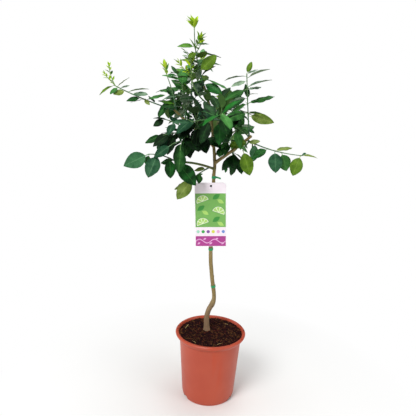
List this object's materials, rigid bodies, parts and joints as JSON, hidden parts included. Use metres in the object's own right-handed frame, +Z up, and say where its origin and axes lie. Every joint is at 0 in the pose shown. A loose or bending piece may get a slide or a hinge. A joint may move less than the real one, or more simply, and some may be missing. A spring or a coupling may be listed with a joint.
{
  "type": "potted lime tree",
  "caption": "Young grafted lime tree on a bent stem in a round filled nursery pot, with open leafy crown, tape ties on the stem and a hanging card label.",
  "frame": {"origin": "centre of the pot's flat underside", "axes": "+Z up along the pot's axis, -Y toward the side that the label faces, +X to the right as that side is looked at"},
  "size_m": [0.511, 0.4067, 0.9913],
  "materials": {
    "pot_plastic": "terracotta-coloured plastic, satin",
    "compost": "damp dark bark compost",
    "bark": "olive-brown young bark, grey-tan at the foot",
    "leaves": "waxy dark green leaves, yellow-green at the young tips",
    "tape": "green plant tape",
    "card": null,
    "pin_plastic": "dark plastic"
  },
  "bodies": {
    "root": {"pot": "pot_plastic", "soil": "compost", "trunk": "bark", "tie_low": "tape", "tie_middle": "tape", "tie_top": "tape", "label": "card", "label_pin": "pin_plastic", "bough_leader": "bark", "bough_right": "bark", "bough_left": "bark", "bough_low_left": "bark", "bough_front": "bark", "bough_back_left": "bark", "bough_back": "bark", "bough_back_right": "bark", "foliage_top": "leaves", "foliage_second": "leaves", "foliage_left_up": "leaves", "foliage_far_left": "leaves", "foliage_mid_left": "leaves", "foliage_heart": "leaves", "foliage_under_left": "leaves", "foliage_upper_left": "leaves", "foliage_low_left": "leaves", "foliage_low_hanging": "leaves", "foliage_right_up": "leaves", "foliage_right_out": "leaves", "foliage_right_low": "leaves", "foliage_right_inner": "leaves", "foliage_mid_right": "leaves", "foliage_front": "leaves", "foliage_back_left": "leaves", "foliage_back": "leaves", "foliage_back_right": "leaves"}
  },
  "joints": []
}
